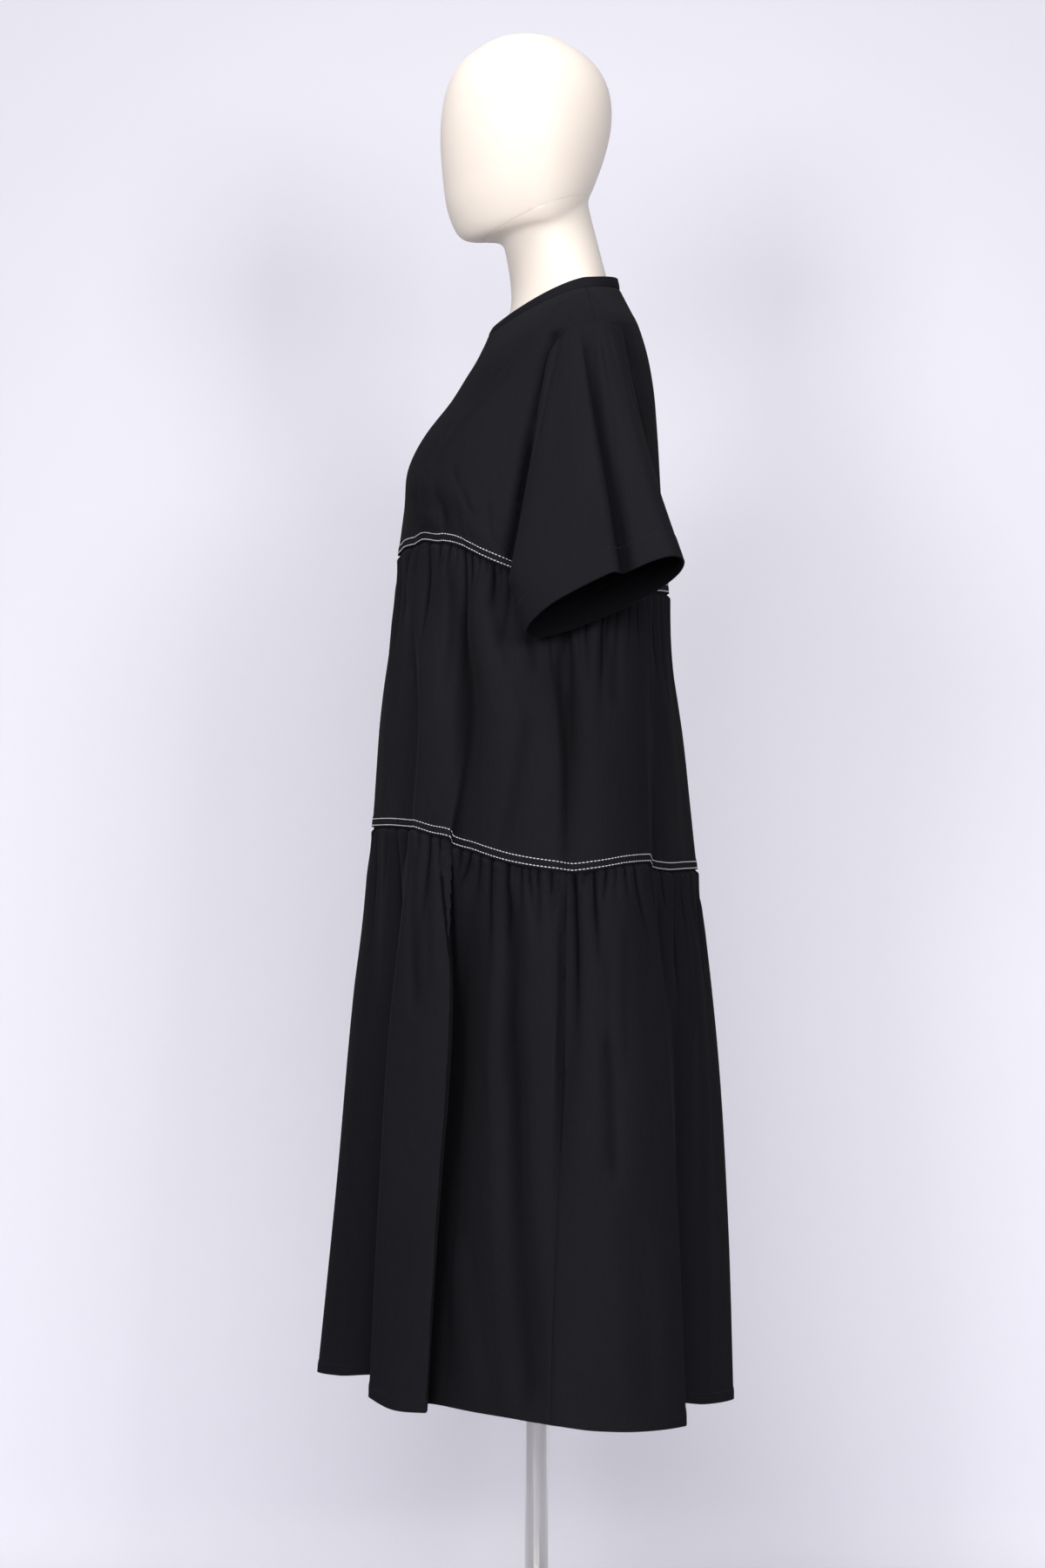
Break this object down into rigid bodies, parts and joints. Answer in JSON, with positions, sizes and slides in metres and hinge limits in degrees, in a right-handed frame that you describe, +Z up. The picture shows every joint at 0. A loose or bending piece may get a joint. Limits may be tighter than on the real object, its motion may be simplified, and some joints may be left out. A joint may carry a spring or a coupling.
{
  "type": "tiered dress on a limbless display form",
  "caption": "Loose short-sleeved midi dress with a plain bodice and gathered tiers below it, worn by a limbless display form with a faceless head on a pole and a round base plate.",
  "frame": {"origin": "centre of the round base plate's underside, on the floor", "axes": "+Z up; -Y is the front of the dress, where the faceless head looks; +X is the wearer's left"},
  "size_m": [0.7032, 0.446, 1.763],
  "materials": {
    "black_cotton": "matte black cotton with a soft satin sheen on its folds",
    "cream_form": "smooth cream lacquer, eggshell sheen",
    "brushed_steel": "brushed stainless steel"
  },
  "bodies": {
    "root": {"bodice_front": "black_cotton", "bodice_back": "black_cotton", "sleeve_left": "black_cotton", "sleeve_right": "black_cotton", "neck_binding": "black_cotton", "middle_tier_front": "black_cotton", "middle_tier_back": "black_cotton", "lower_tier_front": "black_cotton", "lower_tier_back": "black_cotton", "form_body": "cream_form", "stand_pole": "brushed_steel", "stand_base": "brushed_steel"}
  },
  "joints": []
}
